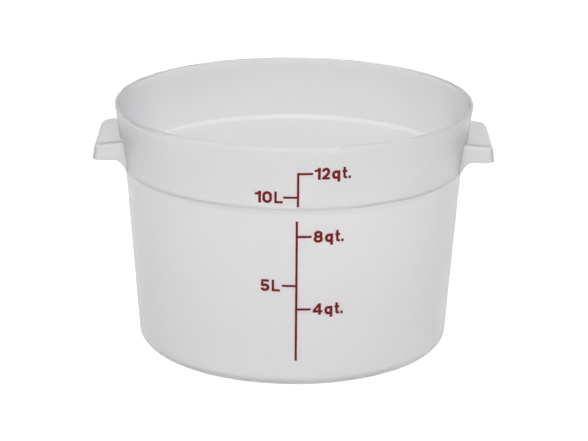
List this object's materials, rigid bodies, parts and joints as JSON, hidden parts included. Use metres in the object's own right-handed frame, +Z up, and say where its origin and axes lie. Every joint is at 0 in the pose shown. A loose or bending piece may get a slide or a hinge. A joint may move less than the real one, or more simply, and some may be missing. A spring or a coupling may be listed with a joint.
{
  "type": "round food storage container",
  "caption": "Open round tub of translucent polypropylene with a flared collar, a rim bead, hollow ear handles and a printed volume scale in quarts and litres.",
  "frame": {"origin": "centre of the flat underside that the tub stands on", "axes": "+Z up through the open top, +X through the right handle, -Y out of the side that carries the printed scale"},
  "size_m": [0.3416, 0.308, 0.2125],
  "materials": {
    "polypropylene": "milky translucent injection moulding with a soft satin gloss",
    "print_ink": "dark maroon screen print"
  },
  "bodies": {
    "root": {"tub": "polypropylene", "left_handle": "polypropylene", "right_handle": "polypropylene", "scale_upper": "print_ink", "scale_lower": "print_ink", "mark_12qt_1": "print_ink", "mark_12qt_2": "print_ink", "mark_12qt_q": "print_ink", "mark_12qt_t": "print_ink", "mark_12qt_point": "print_ink", "mark_10L_1": "print_ink", "mark_10L_0": "print_ink", "mark_10L_L": "print_ink", "mark_8qt_8": "print_ink", "mark_8qt_q": "print_ink", "mark_8qt_t": "print_ink", "mark_8qt_point": "print_ink", "mark_5L_5": "print_ink", "mark_5L_L": "print_ink", "mark_4qt_4": "print_ink", "mark_4qt_q": "print_ink", "mark_4qt_t": "print_ink", "mark_4qt_point": "print_ink"}
  },
  "joints": []
}
